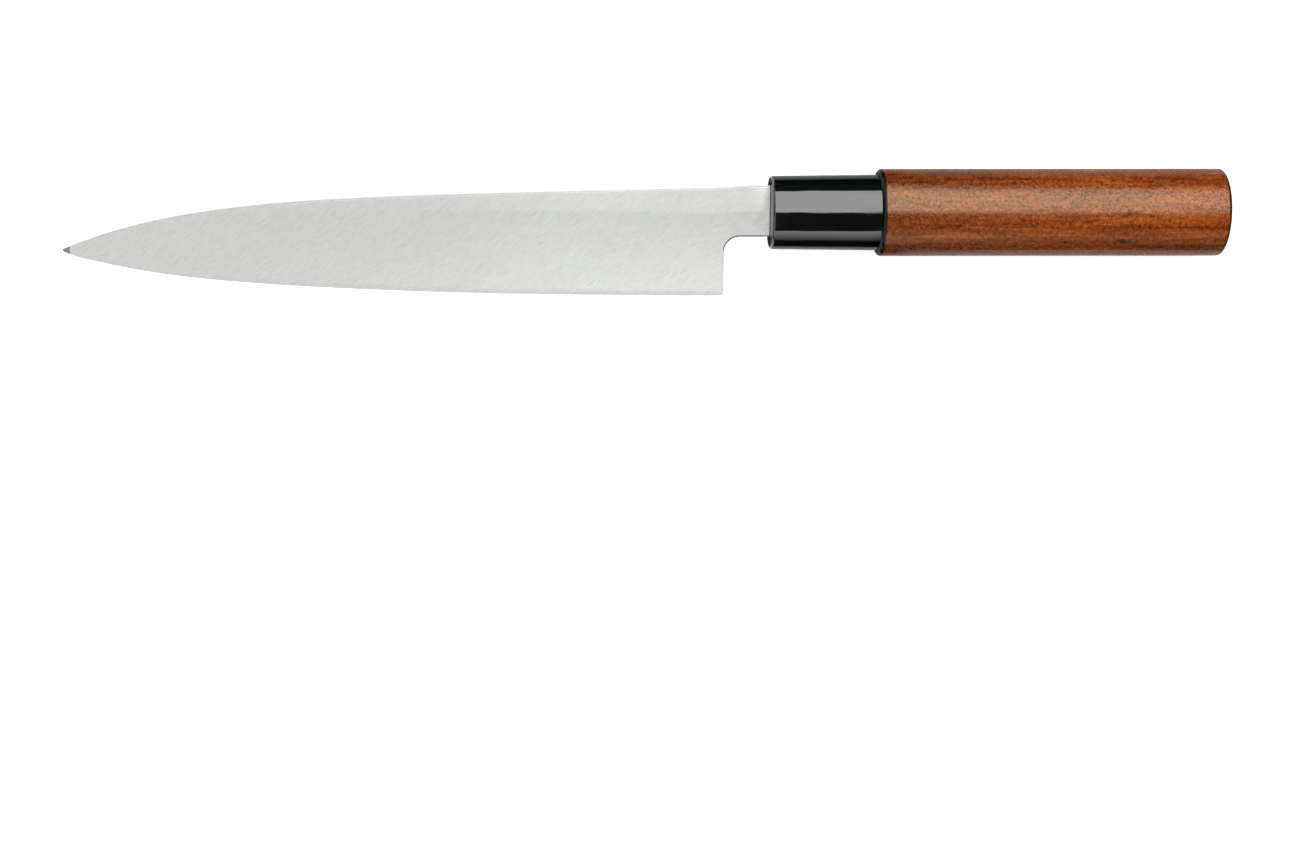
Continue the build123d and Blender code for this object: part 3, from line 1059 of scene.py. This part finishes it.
# Where the camera hangs, from the middle of the knife, and how far it is turned from looking straight down
camera_place = Vector((-22.6, 41.8, 516.3)) * MM
camera_yaw, camera_pitch, camera_roll = radians(-0.25), radians(-7.12), radians(-0.02)
camera_shift = (0.06, -0.10)
camera_range = (0.01, 20.0)

# Where along the knife the lamps over the blade and the wood start, and how much of the side light and the
# fill light the wood gets
FAR_BEFORE_TIP = -1.10
WOOD_START = 0.243
WOOD_SIDE_SHARE = 0.86
WOOD_FILL_SHARE = 0.28


def soft_light(name, brightness, lean, distance, start, end, width, fade=(1.0, 1.0), across=False):
    """Rectangular lamp that runs along the knife from start to end, as bright as the given number of whites.

    It faces the handle's axis from a distance, and leans over it by so many degrees from the vertical
    towards the spine. Its brightness fades evenly between the two shares of fade, from start to end or, with
    across, from its low side to its high one.
    """
    data = bpy.data.lights.new(name, "AREA")
    data.shape = "RECTANGLE"
    data.size, data.size_y = end - start, width
    data.energy = brightness * pi * data.size * data.size_y
    tree = NodeTree(data)
    place = tree.node("ShaderNodeNewGeometry").outputs["Parametric"]
    level = tree.stretch(tree.part(place, "Y" if across else "X"), low=fade[0], high=fade[1])
    tree.fill(tree.nodes["Emission"].inputs["Strength"], level)
    obj = bpy.data.objects.new(name, data)
    middle = Vector(((start + end) / 2, axis_y, axis_z))
    turn = Matrix.Rotation(-radians(lean), 4, "X")
    obj.matrix_world = Matrix.Translation(middle) @ turn @ Matrix.Translation((0, 0, distance))
    obj.visible_camera = False
    bpy.context.scene.collection.objects.link(obj)


def flat_piece(name, corners, height):
    """One flat face over its corners in plan."""
    mesh = bpy.data.meshes.new(name)
    mesh.from_pydata([(x, y, height) for x, y in corners], [], [tuple(range(len(corners)))])
    obj = bpy.data.objects.new(name, mesh)
    bpy.context.scene.collection.objects.link(obj)
    return obj


def pale_floor(stage):
    """Plain floor under the knife, which is white where it is seen and keeps the knife's shadow."""
    half = stage.floor_size / 2
    obj = flat_piece("floor", [(-half, -half), (half, -half), (half, half), (-half, half)], 0)
    finish = Finish("pale_floor")
    path = finish.node("ShaderNodeLightPath")
    seen = finish.math("MAXIMUM", path.outputs["Is Camera Ray"], path.outputs["Is Glossy Ray"])
    seen = finish.math("MAXIMUM", seen, path.outputs["Is Transmission Ray"])
    finish.set(
        Base_Color=(*stage.floor_colour, 1),
        Roughness=0.9,
        Specular_IOR_Level=0.0,
        Emission_Color=(1, 1, 1, 1),
        Emission_Strength=finish.math("MULTIPLY", seen, stage.floor_glow),
    )
    obj.data.materials.append(finish.material)


# Dark card: how far before the mouth it starts, how much steeper its front border is than the sight that is
# thrown back there, between which distances behind the ring its fade gets wider, its height over the floor
# and the width of its black border before the mouth
CARD_BEFORE = 8 * MM
CARD_STEEPER = 0.03
CARD_WIDENS_START, CARD_WIDENS_END = 9 * MM, 20 * MM
CARD_HEIGHT = CARD_BORDER = 1 * MM


def dark_card(stage):
    """Card on the floor round the handle that shows only in gloss, so that black plastic has dark sides.

    It is grey beside the handle and black further off: its place in the fade is the larger of how far a
    point lies beside the handle and how far behind the butt, over the width of the fade, which is larger
    beside the wood. It is darker on the spine's side. Its front border runs the way that the camera's sight
    is thrown back at the handle's mouth, so that the steel before it shows the white floor.
    """
    reach = stage.card_reach
    half = (grip_high.y - grip_low.y) / 2
    side = (ferrule_high.y - ferrule_low.y) / 2
    lean = (mouth_x - camera_place.x) / (camera_place.z - axis_z) - CARD_STEEPER
    start, end = mouth_x + lean * reach, grip_high.x + reach
    front = mouth_x - CARD_BEFORE
    low, high = axis_y - reach, axis_y + reach
    obj = flat_piece("dark_card", [
        (front, axis_y - side), (mouth_x, axis_y - side), (start, low), (end, low),
        (end, high), (start, high), (mouth_x, axis_y + side), (front, axis_y + side),
    ], CARD_HEIGHT)
    obj.visible_camera = obj.visible_diffuse = obj.visible_shadow = obj.visible_transmission = False
    finish = Finish("dark_card")
    x, y = (finish.part(finish.place(), index) for index in range(2))
    beside = finish.math("SUBTRACT", finish.math("ABSOLUTE", finish.math("SUBTRACT", y, axis_y)), half)
    behind = finish.math("SUBTRACT", x, grip_high.x)
    wood = finish.along(0, ring_high.x + CARD_WIDENS_START, ring_high.x + CARD_WIDENS_END)
    fade = finish.stretch(wood, low=stage.card_fade, high=stage.card_wood_fade)
    off = finish.math("DIVIDE", finish.math("MAXIMUM", beside, behind), fade)
    before = finish.math("DIVIDE", finish.math("SUBTRACT", mouth_x + CARD_BORDER, x), CARD_BORDER)
    grey = stage.card_grey
    tone = finish.ramp(finish.math("MAXIMUM", off, before), (0.0, grey), (0.8, grey * 0.6), (1.0, 0.01))
    towards_edge = finish.along(1, axis_y + half, axis_y - half)
    tone = finish.shade(tone, towards_edge, (0.0, 0.75), (1.0, 1.0))
    finish.set(Base_Color=tone, Roughness=1.0, Specular_IOR_Level=0.0)
    obj.data.materials.append(finish.material)


def room(stage):
    """World that is white where the camera sees it and dim for all else."""
    world = bpy.data.worlds.new("room")
    tree = NodeTree(world)
    seen = tree.node("ShaderNodeLightPath").outputs["Is Camera Ray"]
    background = tree.nodes["Background"]
    tree.fill(background.inputs["Strength"], tree.stretch(seen, low=stage.surroundings))
    tree.fill(background.inputs["Color"], (1, 1, 1, 1))
    bpy.context.scene.world = world


class KNIFE_OT_stage(bpy.types.Operator):
    """Make the floor, the soft lights and the camera"""

    bl_idname = "knife.stage"
    bl_label = "Studio"

    def execute(self, context):
        stage = settings("stage")
        scene = context.scene
        pale_floor(stage)
        room(stage)
        soft_light(
            "overhead_light", stage.overhead, lean=-34, distance=0.90,
            start=FAR_BEFORE_TIP, end=0.105, width=1.45, fade=(0.98, 1.04),
        )
        soft_light(
            "side_light", stage.side, lean=34.4, distance=0.93,
            start=0.085, end=WOOD_START, width=1.12,
        )
        soft_light(
            "wood_side_light", stage.side * WOOD_SIDE_SHARE, lean=27, distance=0.93,
            start=WOOD_START, end=0.62, width=0.94,
        )
        soft_light(
            "fill_light", stage.fill, lean=-69.4, distance=0.95,
            start=0.0, end=WOOD_START, width=0.64, fade=(0.0, 1.60), across=True,
        )
        soft_light(
            "wood_fill_light", stage.fill * WOOD_FILL_SHARE, lean=-56, distance=0.95,
            start=WOOD_START, end=0.70, width=0.50, fade=(0.6, 1.4), across=True,
        )
        soft_light(
            "rim_light", stage.rim, lean=43, distance=0.95,
            start=FAR_BEFORE_TIP, end=0.10, width=1.50, fade=(1.5, 1.25), across=True,
        )
        dark_card(stage)

        camera = bpy.data.cameras.new("camera")
        camera.lens = stage.lens / MM
        camera.sensor_width = stage.sensor / MM
        camera.shift_x, camera.shift_y = camera_shift
        camera.clip_start, camera.clip_end = camera_range
        obj = bpy.data.objects.new("camera", camera)
        turn = Matrix.Rotation(camera_yaw, 4, "Y") @ Matrix.Rotation(camera_pitch, 4, "X")
        turn = turn @ Matrix.Rotation(camera_roll, 4, "Z")
        obj.matrix_world = Matrix.Translation(camera_place) @ turn
        scene.collection.objects.link(obj)
        scene.camera = obj
        scene.view_settings.view_transform = "Standard"
        return {"FINISHED"}


class KNIFE_PT_pieces(bpy.types.Panel):
    """Sidebar panel that makes the pieces one by one"""

    bl_idname = "KNIFE_PT_pieces"
    bl_label = "Slicing knife"
    bl_space_type = "VIEW_3D"
    bl_region_type = "UI"
    bl_category = "Knife"

    def draw(self, context):
        for operator in OPERATORS:
            self.layout.operator(operator.bl_idname)


OPERATORS = (
    KNIFE_OT_blade,
    KNIFE_OT_ferrule,
    KNIFE_OT_ring,
    KNIFE_OT_grip,
    KNIFE_OT_bedding,
    KNIFE_OT_stage,
)
GROUPS = {"blade": BladeSettings, "handle": HandleSettings, "stage": StageSettings}


def register():
    for kind in (*GROUPS.values(), *OPERATORS, KNIFE_PT_pieces):
        bpy.utils.register_class(kind)
    for name, kind in GROUPS.items():
        setattr(bpy.types.Scene, "knife_" + name, bpy.props.PointerProperty(type=kind))


def unregister():
    for name in GROUPS:
        delattr(bpy.types.Scene, "knife_" + name)
    for kind in reversed((*GROUPS.values(), *OPERATORS, KNIFE_PT_pieces)):
        bpy.utils.unregister_class(kind)


def main():
    register()
    for operator in OPERATORS:
        group, name = operator.bl_idname.split(".")
        getattr(getattr(bpy.ops, group), name)()


if __name__ == "__main__":
    main()
